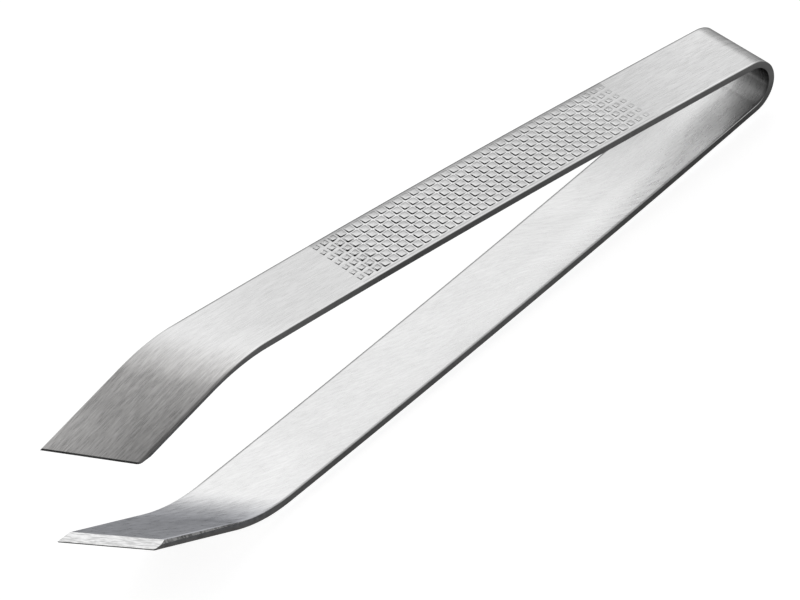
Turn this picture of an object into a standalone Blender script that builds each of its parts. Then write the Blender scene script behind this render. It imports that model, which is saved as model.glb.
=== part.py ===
"""Fish bone tweezers, made the way the real ones are.

The real tool is one strip of stainless sheet. It is cut flat, embossed with
raised pillows where the fingers press, ground at both ends, and then formed:
round a bow in the middle, in a long shallow curve along each arm, and across a
skewed line into each jaw. This script works in the same order. Each section is
shaped flat, in strip coordinates, and then every corner goes through form().

Strip coordinates: u runs along the sheet from the top of the bow to the tip,
v runs across it, and h is the height above the middle of the sheet, towards
the outer face. Lengths are in metres and angles in radians.
"""

from math import atan2, cos, pi, radians, sin, tan

import bmesh
import bpy
import numpy as np
from mathutils import Matrix, Vector

# Sheet
STRIP_WIDTH = 0.014
STRIP_THICKNESS = 0.0013
EDGE_RADIUS = 0.0002
EDGE_STEPS = 2

# Bow and arms, measured on the middle of the sheet
BOW_RADIUS = 0.0047
BOW_TAIL = 0.0012
ARM_SPLAY = radians(8.0)
ARM_TURN = radians(2.8)
SHANK_LENGTH = 0.0209
NECK_LENGTH = 0.0164

# Grip: rows and columns of raised pillows, smaller towards both ends. The rows take up a
# share of the width, and a pillow's height and sloping wall are shares of the pitch
PILLOW_ROWS = 7
PATTERN_WIDTH_SHARE = 0.9
PILLOW_HEIGHT_SHARE = 0.09
PILLOW_WALL_SHARE = 0.13
FULL_COLUMNS = 31
END_COLUMN_SIZE_SHARES = (0.70, 0.62, 0.50)
END_COLUMN_HEIGHT_SHARES = (0.80, 0.60, 0.40)
END_COLUMN_WALL_SHARES = (0.80, 0.70, 0.60)
GRIP_MARGIN = 0.0006

# The arm's long curve is bent in flats of a few columns each, and the tweezers rest on the
# flat with this column at its middle, which is under their centre of mass
REST_COLUMN = 24
FLAT_COLUMNS = 9

# Jaw: a bend across a skewed line, a skewed end and a ground facet
JAW_LEAD = 0.0038
BEND_SKEW = radians(32.3)
BEND_RADIUS = 0.0178
BEND_TURN = radians(32.5)
JAW_LENGTH = 0.0171
TIP_SKEW = radians(32.8)
TIP_EDGE = 0.0002
FACET_LENGTH = 0.00255

# Sections of the strip are cut square here, with this gap at each seam
SEAM_GAP = 0.0003
BOW_STEPS = 22
BEND_STEPS = 12

# Waste that the end cuts remove, and how near a plane counts as on it
WASTE_LENGTH = 0.002
CUT_TOLERANCE = 1e-7
SHARP_ANGLE = radians(25.0)

BRUSHED_STEEL = (0.62, 0.61, 0.60, 1.0)
GROUND_STEEL = (0.70, 0.69, 0.68, 1.0)

# Sizes that follow from those above
HALF_WIDTH = STRIP_WIDTH / 2
HALF_THICKNESS = STRIP_THICKNESS / 2
PILLOW_PITCH = STRIP_WIDTH * PATTERN_WIDTH_SHARE / PILLOW_ROWS
PILLOW_HEIGHT = PILLOW_PITCH * PILLOW_HEIGHT_SHARE
PILLOW_WALL = PILLOW_PITCH * PILLOW_WALL_SHARE
END_COLUMNS = len(END_COLUMN_SIZE_SHARES)
COLUMNS = FULL_COLUMNS + 2 * END_COLUMNS
GRIP_LENGTH = COLUMNS * PILLOW_PITCH + 2 * GRIP_MARGIN
BOW_ANGLE = pi / 2 - ARM_SPLAY
BOW_ARC = BOW_RADIUS * BOW_ANGLE
BOW_SEAM = BOW_ARC + BOW_TAIL
GRIP_SEAM = BOW_SEAM + SHANK_LENGTH
NECK_SEAM = GRIP_SEAM + GRIP_LENGTH
JAW_SEAM = NECK_SEAM + NECK_LENGTH
ARM_RADIUS = (JAW_SEAM - BOW_ARC) / ARM_TURN
JAW_ANGLE = BOW_ANGLE + ARM_TURN
BEND_LINE = JAW_SEAM + JAW_LEAD + HALF_WIDTH * tan(BEND_SKEW)
BEND_ARC = BEND_RADIUS * BEND_TURN
TIP_LINE = BEND_LINE + BEND_ARC / cos(BEND_SKEW) + JAW_LENGTH
PATTERN_START = GRIP_SEAM + GRIP_MARGIN
FLAT_LENGTH = FLAT_COLUMNS * PILLOW_PITCH
REST_U = PATTERN_START + (REST_COLUMN + 0.5) * PILLOW_PITCH
REST_TURN = pi / 2 - BOW_ANGLE - (REST_U - BOW_ARC) / ARM_RADIUS
ACROSS = np.array((0, 1, 0))


def outward(angle):
    """The outer face's normal where the sheet has turned this far from the bow's top."""
    return np.array((cos(angle), 0, sin(angle)))


def along(angle):
    """The direction of the sheet there, towards the tip."""
    return np.array((-sin(angle), 0, cos(angle)))


BOW_END = outward(BOW_ANGLE) * BOW_RADIUS
ARM_CENTRE = BOW_END - outward(BOW_ANGLE) * ARM_RADIUS
JAW_ROOT = ARM_CENTRE + outward(JAW_ANGLE) * ARM_RADIUS


def arm_folds():
    """Where the arm turns a little, from the end of the bow's arc to the start of the jaw."""
    fold = REST_U - FLAT_LENGTH / 2
    while fold - FLAT_LENGTH > BOW_ARC:
        fold -= FLAT_LENGTH
    folds = [BOW_ARC]
    while fold < JAW_SEAM - SEAM_GAP:
        folds.append(fold)
        fold += FLAT_LENGTH
    return folds + [JAW_SEAM]


FOLDS = arm_folds()


def form_arm(u, v, h):
    """A point of the arm, whose long shallow curve is a chain of flats."""
    for start, end in zip(FOLDS, FOLDS[1:]):
        if u <= end:
            break
    corners = []
    for fold in (start, end):
        angle = BOW_ANGLE + (fold - BOW_ARC) / ARM_RADIUS
        corners.append(ARM_CENTRE + outward(angle) * (ARM_RADIUS + h))
    share = (u - start) / (end - start)
    return corners[0] * (1 - share) + corners[1] * share + ACROSS * v


def form_jaw(u, v, h):
    """A point of the jaw: straight, round the skewed bend, and straight again to the tip."""
    ahead = along(JAW_ANGLE)
    up = outward(JAW_ANGLE)
    toward = ahead * cos(BEND_SKEW) - ACROSS * sin(BEND_SKEW)
    axis = ahead * sin(BEND_SKEW) + ACROSS * cos(BEND_SKEW)
    distance = (u - BEND_LINE) * cos(BEND_SKEW) - v * sin(BEND_SKEW)
    shift = (u - BEND_LINE) * sin(BEND_SKEW) + v * cos(BEND_SKEW)
    turned = min(max(distance, 0), BEND_ARC) / BEND_RADIUS
    past = max(distance - BEND_ARC, 0)
    forward = min(distance, 0) + BEND_RADIUS * sin(turned) + past * cos(turned)
    inward = BEND_RADIUS * (1 - cos(turned)) + past * sin(turned)
    root = JAW_ROOT + ahead * (BEND_LINE - JAW_SEAM)
    normal = up * cos(turned) + toward * sin(turned)
    return root + toward * forward + axis * shift - up * inward + normal * h


def form_half(u, v, h):
    """A point of the upper half of the strip, in the bow's own frame."""
    if u <= BOW_ARC:
        return outward(u / BOW_RADIUS) * (BOW_RADIUS + h) + ACROSS * v
    if u <= JAW_SEAM:
        return form_arm(u, v, h)
    return form_jaw(u, v, h)


def lay_down(point):
    """Turns a point so that the lower arm's resting flat is level."""
    x, y, z = point
    return np.array((x * cos(REST_TURN) + z * sin(REST_TURN), y,
                     z * cos(REST_TURN) - x * sin(REST_TURN)))


def form(u, v, h, half):
    """A point of the finished tweezers. half is 1 above, and -1 below, which is its mirror image."""
    point = form_half(abs(u), v, h)
    point[2] *= half
    return lay_down(point) - REST_POINT


REST_POINT = lay_down(form_half(REST_U, 0, HALF_THICKNESS + PILLOW_HEIGHT) * (1, 1, -1))


def all_of(bm):
    return bm.verts[:] + bm.edges[:] + bm.faces[:]


def flat_section(start, end):
    """A flat length of strip with its four long edges rounded."""
    bm = bmesh.new()
    size = Vector((end - start, STRIP_WIDTH, STRIP_THICKNESS))
    place = Vector(((start + end) / 2, 0, 0))
    bmesh.ops.create_cube(bm, size=1, matrix=Matrix.LocRotScale(place, None, size))
    lengthways = [e for e in bm.edges if abs(e.verts[0].co.x - e.verts[1].co.x) > size.x / 2]
    bmesh.ops.bevel(bm, geom=lengthways, offset=EDGE_RADIUS, segments=EDGE_STEPS,
                    profile=0.5, affect='EDGES', material=-1)
    return bm


def cut_across(bm, u, skew=0.0):
    """An edge loop across the strip, where a fold line or a change of curve will lie."""
    bmesh.ops.bisect_plane(bm, geom=all_of(bm), dist=CUT_TOLERANCE,
                           plane_co=(u, 0, 0), plane_no=(cos(skew), -sin(skew), 0))


def cut_at_folds(bm, start, end):
    for fold in FOLDS:
        if start < fold < end:
            cut_across(bm, fold)


def cut_off(bm, place, normal):
    """Grinds away everything on the normal's side of a plane and closes the cut."""
    bmesh.ops.bisect_plane(bm, geom=all_of(bm), dist=CUT_TOLERANCE, plane_co=place,
                           plane_no=normal, clear_outer=True)
    bmesh.ops.holes_fill(bm, edges=bm.edges[:], sides=0)


def outer_faces(bm):
    return [f for f in bm.faces if f.normal.z > cos(SHARP_ANGLE) and
            f.calc_center_median().z > HALF_THICKNESS - CUT_TOLERANCE]


def cut_rows(bm):
    """Splits the outer face alone along the edges of the rows of pillows."""
    for row in range(PILLOW_ROWS + 1):
        faces = outer_faces(bm)
        edges = {e for f in faces for e in f.edges}
        verts = {v for f in faces for v in f.verts}
        across = (row - PILLOW_ROWS / 2) * PILLOW_PITCH
        bmesh.ops.bisect_plane(bm, geom=list(verts) + list(edges) + faces, dist=CUT_TOLERANCE,
                               plane_co=(0, across, 0), plane_no=(0, 1, 0))


def column_shares(column):
    """Size, height and wall of a column of pillows, as shares of the full ones."""
    from_end = min(column, COLUMNS - 1 - column)
    if from_end >= END_COLUMNS:
        return 1.0, 1.0, 1.0
    step = END_COLUMNS - 1 - from_end
    return (END_COLUMN_SIZE_SHARES[step], END_COLUMN_HEIGHT_SHARES[step],
            END_COLUMN_WALL_SHARES[step])


def emboss(bm):
    """Raises the pillows out of the outer face, a column at a time."""
    half_rows = PILLOW_ROWS * PILLOW_PITCH / 2
    for column in range(COLUMNS):
        size, height, wall = column_shares(column)
        start = PATTERN_START + column * PILLOW_PITCH
        cells = [f for f in outer_faces(bm)
                 if start < f.calc_center_median().x < start + PILLOW_PITCH
                 and abs(f.calc_center_median().y) < half_rows]
        if size < 1:
            border = PILLOW_PITCH * (1 - size) / 2
            bmesh.ops.inset_individual(bm, faces=cells, thickness=border, depth=0,
                                       use_even_offset=True)
        bmesh.ops.inset_individual(bm, faces=cells, thickness=PILLOW_WALL * wall,
                                   depth=PILLOW_HEIGHT * height, use_even_offset=True)


def bow_section():
    """The bow, which is the spring, with the short straight start of both arms."""
    end = BOW_SEAM - SEAM_GAP / 2
    bm = flat_section(-end, end)
    for step in range(-BOW_STEPS, BOW_STEPS + 1):
        cut_across(bm, BOW_ARC * step / BOW_STEPS)
    return bm


def plain_section(start, end):
    """A length of arm with nothing on it but its long shallow curve."""
    bm = flat_section(start + SEAM_GAP / 2, end - SEAM_GAP / 2)
    cut_at_folds(bm, start, end)
    return bm


def shank_section():
    return plain_section(BOW_SEAM, GRIP_SEAM)


def neck_section():
    return plain_section(NECK_SEAM, JAW_SEAM)


def grip_section():
    """The length the fingers press, with its pillows."""
    bm = flat_section(GRIP_SEAM + SEAM_GAP / 2, NECK_SEAM - SEAM_GAP / 2)
    for column in range(COLUMNS + 1):
        cut_across(bm, PATTERN_START + column * PILLOW_PITCH)
    cut_rows(bm)
    emboss(bm)
    return bm


def jaw_section():
    """The jaw: folded across a skewed line, cut off askew and ground thin inside."""
    far_end = TIP_LINE + HALF_WIDTH * tan(TIP_SKEW) + WASTE_LENGTH
    bm = flat_section(JAW_SEAM + SEAM_GAP / 2, far_end)
    for step in range(BEND_STEPS + 1):
        fold = BEND_LINE + BEND_ARC * step / BEND_STEPS / cos(BEND_SKEW)
        cut_across(bm, fold, BEND_SKEW)
    outwards = Vector((cos(TIP_SKEW), -sin(TIP_SKEW), 0))
    cut_off(bm, (TIP_LINE, 0, 0), outwards)
    facet_run = FACET_LENGTH * cos(TIP_SKEW)
    slope = atan2(STRIP_THICKNESS - TIP_EDGE, facet_run)
    downwards = Vector((0, 0, -1))
    cut_off(bm, (TIP_LINE, 0, HALF_THICKNESS - TIP_EDGE),
            outwards * sin(slope) + downwards * cos(slope))
    return bm


def steel(name, colour, roughness):
    material = bpy.data.materials.new(name)
    material.use_nodes = True
    shader = material.node_tree.nodes['Principled BSDF']
    shader.inputs['Base Color'].default_value = colour
    shader.inputs['Metallic'].default_value = 1.0
    shader.inputs['Roughness'].default_value = roughness
    material.diffuse_color = colour
    return material


def add_section(collection, name, bm, half, parent, pivot, colour, roughness):
    """Forms a flat section about its pivot, the hinge of its body, and places it there."""
    bmesh.ops.recalc_face_normals(bm, faces=bm.faces[:])
    for vertex in bm.verts:
        u, v, h = vertex.co
        vertex.co = form(u, v, h, half or (1 if u >= 0 else -1)) - pivot
    if half >= 0:
        # Forming turns the faces over, and the lower half's mirroring turns them back
        bmesh.ops.reverse_faces(bm, faces=bm.faces[:])
    mesh = bpy.data.meshes.new(name)
    bm.to_mesh(mesh)
    bm.free()
    mesh.shade_smooth()
    mesh.set_sharp_from_angle(angle=SHARP_ANGLE)
    mesh.materials.append(steel(name + '_steel', colour, roughness))
    section = bpy.data.objects.new(name, mesh)
    section.parent = parent
    if parent is None:
        section.location = pivot
    collection.objects.link(section)


def add_hinge(collection, name, parent, location):
    hinge = bpy.data.objects.new(name, None)
    hinge.empty_display_size = STRIP_WIDTH
    hinge.parent = parent
    hinge.location = location
    collection.objects.link(hinge)
    return hinge


def add_arm(collection, name, half):
    """One arm: its shank flexes on the bow, and its grip, neck and jaw flex on the shank."""
    bow_pivot = form(BOW_SEAM, 0, 0, half)
    grip_pivot = form(GRIP_SEAM, 0, 0, half)
    at_bow = add_hinge(collection, name + '_bow_hinge', None, bow_pivot)
    at_grip = add_hinge(collection, name + '_grip_hinge', at_bow, grip_pivot - bow_pivot)
    add_section(collection, name + '_shank', shank_section(), half, at_bow, bow_pivot,
                BRUSHED_STEEL, 0.32)
    add_section(collection, name + '_grip', grip_section(), half, at_grip, grip_pivot,
                BRUSHED_STEEL, 0.30)
    add_section(collection, name + '_neck', neck_section(), half, at_grip, grip_pivot,
                BRUSHED_STEEL, 0.32)
    add_section(collection, name + '_jaw', jaw_section(), half, at_grip, grip_pivot,
                GROUND_STEEL, 0.36)
    print(name, 'hinges at', np.round(bow_pivot, 6), np.round(grip_pivot, 6))


def build():
    """Lays the tweezers on the pillows of the lower arm, which touch the table at the origin."""
    for old in list(bpy.data.objects):
        bpy.data.objects.remove(old, do_unlink=True)
    collection = bpy.data.collections.new('fish_bone_tweezers')
    bpy.context.scene.collection.children.link(collection)
    bow_centre = form(0, 0, -BOW_RADIUS, 1)
    add_section(collection, 'bow', bow_section(), 0, None, bow_centre, BRUSHED_STEEL, 0.30)
    add_arm(collection, 'upper', 1)
    add_arm(collection, 'lower', -1)


build()
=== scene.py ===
# %% [markdown]
# # Fish bone tweezers
# The tool is one strip of stainless sheet. It is stamped out flat, embossed where the
# fingers press, ground at both ends, brushed, and bent round a bow, along two shallow arms
# and across a skewed line into each jaw. The looks are made in the same order: each piece
# is modelled flat, with bmesh operators, and then every corner goes through one function
# that bends the strip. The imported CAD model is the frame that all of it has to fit.

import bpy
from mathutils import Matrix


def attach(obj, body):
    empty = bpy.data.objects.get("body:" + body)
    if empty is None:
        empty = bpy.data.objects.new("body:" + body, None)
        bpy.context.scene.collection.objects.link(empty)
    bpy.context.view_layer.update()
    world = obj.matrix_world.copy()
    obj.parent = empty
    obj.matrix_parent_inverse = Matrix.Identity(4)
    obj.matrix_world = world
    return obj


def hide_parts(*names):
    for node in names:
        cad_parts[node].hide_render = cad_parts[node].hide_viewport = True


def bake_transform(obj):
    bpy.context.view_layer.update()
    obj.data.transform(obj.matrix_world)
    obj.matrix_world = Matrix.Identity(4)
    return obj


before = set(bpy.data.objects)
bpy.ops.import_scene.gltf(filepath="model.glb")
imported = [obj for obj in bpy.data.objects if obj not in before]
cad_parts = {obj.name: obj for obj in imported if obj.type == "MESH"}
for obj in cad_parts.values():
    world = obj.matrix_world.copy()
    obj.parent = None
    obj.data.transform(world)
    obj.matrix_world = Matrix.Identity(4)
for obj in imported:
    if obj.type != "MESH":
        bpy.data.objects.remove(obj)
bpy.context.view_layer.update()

# %% [markdown]
# ## The sizes of the strip
# Lengths are in metres and angles in radians. The sheet, the bow, the arms and the jaws
# have the same sizes as in the CAD source, because both scripts describe one blank. What
# this script adds is finer: the rounding left by tumbling, the soft shoulders of the
# pillows and the small bevel ground along the jaw.

# %% Sizes of the strip
from math import atan2, cos, pi, radians, sin, tan

import bmesh
import bpy
import numpy as np
from mathutils import Euler, Matrix, Vector

MM = 0.001

STRIP_WIDTH = 14 * MM
STRIP_THICKNESS = 1.3 * MM
EDGE_RADIUS = 0.14 * MM
EDGE_STEPS = 4

BOW_RADIUS = 4.7 * MM
BOW_TAIL = 1.2 * MM
BOW_REACH = Vector((0.30, 0.0, 0.06)) * MM
ARM_SPLAY = radians(8.0)
ARM_TURN = radians(2.8)
SHANK_LENGTH = 20.9 * MM
NECK_LENGTH = 16.4 * MM

PILLOW_ROWS = 7
PILLOW_COLUMNS = 37
PILLOW_PITCH = 1.8 * MM
PILLOW_TOP = 0.162 * MM
GRIP_MARGIN = 0.6 * MM
REST_COLUMN = 24
FLAT_COLUMNS = 9

JAW_LEAD = 3.8 * MM
BEND_SKEW = radians(32.3)
BEND_RADIUS = 17.8 * MM
BEND_TURN = radians(32.5)
JAW_LENGTH = 17.1 * MM
TIP_SKEW = radians(32.8)
TIP_EDGE = 0.2 * MM
FACET_LENGTH = 2.55 * MM

HALF_WIDTH = STRIP_WIDTH / 2
HALF_THICKNESS = STRIP_THICKNESS / 2
BOW_ANGLE = pi / 2 - ARM_SPLAY
BOW_ARC = BOW_RADIUS * BOW_ANGLE
BOW_SEAM = BOW_ARC + BOW_TAIL
GRIP_SEAM = BOW_SEAM + SHANK_LENGTH
PATTERN_START = GRIP_SEAM + GRIP_MARGIN
PATTERN_END = PATTERN_START + PILLOW_COLUMNS * PILLOW_PITCH
NECK_SEAM = PATTERN_END + GRIP_MARGIN
JAW_SEAM = NECK_SEAM + NECK_LENGTH
ARM_RADIUS = (JAW_SEAM - BOW_ARC) / ARM_TURN
JAW_ANGLE = BOW_ANGLE + ARM_TURN
BEND_LINE = JAW_SEAM + JAW_LEAD + HALF_WIDTH * tan(BEND_SKEW)
BEND_ARC = BEND_RADIUS * BEND_TURN
TIP_LINE = BEND_LINE + BEND_ARC / cos(BEND_SKEW) + JAW_LENGTH
print("half of the blank is", round(TIP_LINE / MM, 1), "mm long")

# %% [markdown]
# ## Bending the strip
# A point of the flat blank has three numbers: u runs along the strip from the top of the
# bow, v runs across it, and h is the height above the middle of the sheet, towards the
# outside. A press brake would turn these into a shape one bend after another. Here one
# function does it for a point: a tight arc for the bow, a very long arc for the arm, and
# for the jaw a roll across a line that isn't square to the strip. Working like this, no
# bend can stretch the sheet or change its thickness.

# %% Bend one point of the strip
ACROSS = np.array((0, 1, 0))


def outward(angle):
    """The outer face's normal where the sheet has turned this far from the bow's top."""
    return np.array((cos(angle), 0, sin(angle)))


def along(angle):
    """The direction of the sheet there, towards the tip."""
    return np.array((-sin(angle), 0, cos(angle)))


ARM_CENTRE = outward(BOW_ANGLE) * (BOW_RADIUS - ARM_RADIUS)
JAW_ROOT = ARM_CENTRE + outward(JAW_ANGLE) * ARM_RADIUS


def bend_arm(u, v, h):
    """A point of the long shallow arc that each arm is bent in."""
    angle = BOW_ANGLE + (u - BOW_ARC) / ARM_RADIUS
    return ARM_CENTRE + outward(angle) * (ARM_RADIUS + h) + ACROSS * v


def bend_jaw(u, v, h):
    """A point of the jaw: straight, rolled across the skewed line, straight to the tip."""
    ahead = along(JAW_ANGLE)
    up = outward(JAW_ANGLE)
    toward = ahead * cos(BEND_SKEW) - ACROSS * sin(BEND_SKEW)
    axis = ahead * sin(BEND_SKEW) + ACROSS * cos(BEND_SKEW)
    distance = (u - BEND_LINE) * cos(BEND_SKEW) - v * sin(BEND_SKEW)
    shift = (u - BEND_LINE) * sin(BEND_SKEW) + v * cos(BEND_SKEW)
    turned = min(max(distance, 0), BEND_ARC) / BEND_RADIUS
    past = max(distance - BEND_ARC, 0)
    forward = min(distance, 0) + BEND_RADIUS * sin(turned) + past * cos(turned)
    inward = BEND_RADIUS * (1 - cos(turned)) + past * sin(turned)
    root = JAW_ROOT + ahead * (BEND_LINE - JAW_SEAM)
    normal = up * cos(turned) + toward * sin(turned)
    return root + toward * forward + axis * shift - up * inward + normal * h


def bend_half(u, v, h):
    """A point of the upper half of the strip, in the bow's own frame."""
    if u <= BOW_ARC:
        return outward(u / BOW_RADIUS) * (BOW_RADIUS + h) + ACROSS * v
    if u <= JAW_SEAM:
        return bend_arm(u, v, h)
    return bend_jaw(u, v, h)


# %% [markdown]
# ## Laying the tweezers down
# They lie on the lower arm, on the pillows under their centre of mass. Those pillows touch
# the table at the origin, so the whole shape is turned until they are level and then
# moved there. The CAD model bends its arms in short flats to rest steadily, and the table
# touches the middle of one flat, so the turn and the place are worked out from that flat.

# %% Lay a bent point down
REST_U = PATTERN_START + (REST_COLUMN + 0.5) * PILLOW_PITCH
REST_TURN = ARM_SPLAY - (REST_U - BOW_ARC) / ARM_RADIUS
HALF_FLAT = FLAT_COLUMNS * PILLOW_PITCH / 2


def lay_down(point):
    """Turns a point about the bow until the resting flat is level."""
    x, y, z = point
    return np.array((x * cos(REST_TURN) + z * sin(REST_TURN), y,
                     z * cos(REST_TURN) - x * sin(REST_TURN)))


flat_ends = [bend_arm(REST_U + way * HALF_FLAT, 0, HALF_THICKNESS + PILLOW_TOP)
             for way in (-1, 1)]
REST_POINT = lay_down((flat_ends[0] + flat_ends[1]) / 2 * (1, 1, -1))


def bend(u, v, h, half):
    """A point of the finished tweezers; half is 1 for the upper arm and -1 for the lower."""
    point = bend_half(abs(u), v, h)
    point[2] *= half
    # The bow bulges a little past its circle, and the shanks take that up smoothly
    share = min(max((GRIP_SEAM - abs(u)) / (GRIP_SEAM - BOW_ARC), 0), 1)
    point += np.array(BOW_REACH) * share * share * (3 - 2 * share)
    return Vector(lay_down(point) - REST_POINT)


print("upper grip hinge at", [round(x / MM, 3) for x in bend(GRIP_SEAM, 0, 0, 1)], "mm")

# %% [markdown]
# ## A flat length of strip
# Every piece starts as the same thing: a cube stretched to a flat bar, with its four long
# edges rounded by a bevel. On the real blank that rounding comes from tumbling after the
# stamping. The bevel has a few segments, so that it catches a fine line of light. A
# second operator slices the bar across wherever it has to be able to bend.

# %% Flat bar and cuts
CUT_TOLERANCE = 1e-8


def everything(bm):
    """All parts of a mesh, which is what the cutting operators ask for."""
    return bm.verts[:] + bm.edges[:] + bm.faces[:]


def flat_bar(start, end):
    """A flat length of strip from one place along it to another, with rounded long edges."""
    bm = bmesh.new()
    size = Vector((end - start, STRIP_WIDTH, STRIP_THICKNESS))
    place = Vector(((start + end) / 2, 0, 0))
    bmesh.ops.create_cube(bm, size=1, matrix=Matrix.LocRotScale(place, None, size))
    lengthways = [e for e in bm.edges if abs(e.verts[0].co.x - e.verts[1].co.x) > size.x / 2]
    bmesh.ops.bevel(bm, geom=lengthways, offset=EDGE_RADIUS, segments=EDGE_STEPS,
                    profile=0.5, affect='EDGES', material=-1)
    return bm


def slice_across(bm, place, skew=0.0):
    """Cuts a line of corners across the strip, so that it can bend there."""
    bmesh.ops.bisect_plane(bm, geom=everything(bm), dist=CUT_TOLERANCE,
                           plane_co=(place, 0, 0), plane_no=(cos(skew), -sin(skew), 0))


def slice_evenly(bm, start, end, step):
    """Cuts such lines at an even spacing between two places."""
    count = max(1, round((end - start) / step))
    for i in range(1, count):
        slice_across(bm, start + (end - start) * i / count)


# %% [markdown]
# ## Turning a flat piece into a finished one
# The blank's own coordinates are kept on every corner as an attribute called strip. A
# brushed finish follows the metal round its bends, so the materials read this attribute
# and not the place in the room. A second attribute, slope, keeps which way the flat mesh
# leaned at each corner, which tells a pillow's walls from its top. After that the corners
# are bent, the object stays at the origin with its place in its mesh, and a Weighted
# Normal modifier keeps the broad faces flat in the light although their edges are smooth.
# Edges where two finishes meet, as round the ground facet, are marked sharp, so that the
# light doesn't run softly from one into the other.

# %% Bend and finish a piece
SHARP_ANGLE = radians(32.0)
END_SLOPE = 0.9
FACE_WEIGHT = 100
ARMS = (('upper', 1), ('lower', -1))


def lean(vertex):
    """The mean normal of the faces round a corner, leaving out a piece's flat ends."""
    faces = [f.normal for f in vertex.link_faces if abs(f.normal.x) < END_SLOPE]
    return sum(faces, Vector()).normalized()


def finish_piece(name, bm, half, materials):
    """Bends a flat mesh. half is 1 or -1 for an arm, and 0 for the bow, which has both."""
    bmesh.ops.recalc_face_normals(bm, faces=bm.faces[:])
    strip = [Vector((v.co.x * (half or 1), v.co.y, v.co.z)) for v in bm.verts]
    slope = [lean(v) for v in bm.verts]
    borders = [len({f.material_index for f in e.link_faces}) > 1 for e in bm.edges]
    for vertex in bm.verts:
        u, v, h = vertex.co
        vertex.co = bend(u, v, h, half or (1 if u >= 0 else -1))
    if half >= 0:
        # Bending turns the faces over, and the lower arm's mirroring turns them back
        bmesh.ops.reverse_faces(bm, faces=bm.faces[:])
    mesh = bpy.data.meshes.new(name)
    bm.to_mesh(mesh)
    bm.free()
    for label, values in (('strip', strip), ('slope', slope)):
        mesh.attributes.new(label, 'FLOAT_VECTOR', 'POINT')
        mesh.attributes[label].data.foreach_set('vector', [x for p in values for x in p])
    mesh.shade_smooth()
    mesh.set_sharp_from_angle(angle=SHARP_ANGLE)
    for edge, border in zip(mesh.edges, borders):
        edge.use_edge_sharp = edge.use_edge_sharp or border
    for material in materials:
        mesh.materials.append(material)
    piece = bpy.data.objects.new(name, mesh)
    bpy.context.scene.collection.objects.link(piece)
    weighted = piece.modifiers.new('even_light', 'WEIGHTED_NORMAL')
    weighted.keep_sharp = True
    weighted.weight = FACE_WEIGHT
    print(name, len(mesh.vertices), "corners,", len(mesh.polygons), "faces")
    return piece


# %% [markdown]
# All the finishes here are worked out from the strip's coordinates with plain arithmetic:
# distances from an edge, smooth steps, and lines joined through a few measured places.
# Each of these takes several nodes and links, so small helpers make them, and the groups
# that follow read almost like formulas.

# %% Groups and their sockets
def new_group(name, outputs, **inputs):
    """An empty shader group with named number outputs and inputs."""
    group = bpy.data.node_groups.new(name, 'ShaderNodeTree')
    for label, value in inputs.items():
        socket = group.interface.new_socket(label.replace('_', ' '), in_out='INPUT',
                                            socket_type='NodeSocketFloat')
        socket.default_value = value
    for label in outputs:
        group.interface.new_socket(label, in_out='OUTPUT', socket_type='NodeSocketFloat')
    print("group", name, "gives", outputs)
    return (group, group.nodes.new('NodeGroupInput').outputs,
            group.nodes.new('NodeGroupOutput').inputs)


def give(group, result, **values):
    """Links what a group has worked out to its outputs of the same names."""
    for label, value in values.items():
        group.links.new(value, result[label])


def feed(tree, socket, value):
    """Gives an input either a plain number or a link from another socket."""
    if isinstance(value, (int, float)):
        socket.default_value = value
    else:
        tree.links.new(value, socket)


# %% Arithmetic nodes
def math_node(tree, operation, first, second=0.0):
    """The output of a Math node on sockets or numbers."""
    node = tree.nodes.new('ShaderNodeMath')
    node.operation = operation
    feed(tree, node.inputs[0], first)
    feed(tree, node.inputs[1], second)
    return node.outputs[0]


def times(tree, first, *others):
    """All of these sockets or numbers multiplied together."""
    for other in others:
        first = math_node(tree, 'MULTIPLY', first, other)
    return first


def plus(tree, first, *others):
    """All of these sockets or numbers added up."""
    for other in others:
        first = math_node(tree, 'ADD', first, other)
    return first


def minus(tree, first, second):
    """The first less the second."""
    return math_node(tree, 'SUBTRACT', first, second)


def greater(tree, first, second):
    """The greater of the two."""
    return math_node(tree, 'MAXIMUM', first, second)


# %% Steps and lines
def ramp(tree, value, start, end, low=0.0, high=1.0, smooth=True):
    """Maps start to low and end to high, and holds both outside that range."""
    node = tree.nodes.new('ShaderNodeMapRange')
    node.interpolation_type = 'SMOOTHSTEP' if smooth else 'LINEAR'
    for label, given in (('Value', value), ('From Min', start), ('From Max', end),
                         ('To Min', low), ('To Max', high)):
        feed(tree, node.inputs[label], given)
    return node.outputs['Result']


def blend(tree, share, low, high):
    """low where share is 0 and high where it is 1."""
    return ramp(tree, share, 0.0, 1.0, low, high, smooth=False)


def joined(tree, value, points, unit=MM):
    """A line joined through (place, height) points, and held beyond both ends."""
    total = points[0][1]
    for (start, low), (end, high) in zip(points, points[1:]):
        step = ramp(tree, value, start * unit, end * unit, 0.0, high - low, smooth=False)
        total = plus(tree, step, total)
    return total


# %% Attributes and noise
NOISE_RANGE = (0.25, 0.75)
NOISE_ROUGHNESS = 0.6


def read_vector(tree, name):
    """The three numbers of one of the mesh's vector attributes."""
    attribute = tree.nodes.new('ShaderNodeAttribute')
    attribute.attribute_name = name
    split = tree.nodes.new('ShaderNodeSeparateXYZ')
    tree.links.new(attribute.outputs['Vector'], split.inputs[0])
    return split.outputs


def noise(tree, x, y, z, detail):
    """A noise on three sockets, stretched so that it uses the range from 0 to 1."""
    place = tree.nodes.new('ShaderNodeCombineXYZ')
    for socket, value in zip(place.inputs, (x, y, z)):
        feed(tree, socket, value)
    node = tree.nodes.new('ShaderNodeTexNoise')
    node.inputs['Scale'].default_value = 1.0
    node.inputs['Detail'].default_value = detail
    node.inputs['Roughness'].default_value = NOISE_ROUGHNESS
    tree.links.new(place.outputs[0], node.inputs['Vector'])
    return ramp(tree, node.outputs['Fac'], *NOISE_RANGE, smooth=False)


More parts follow.
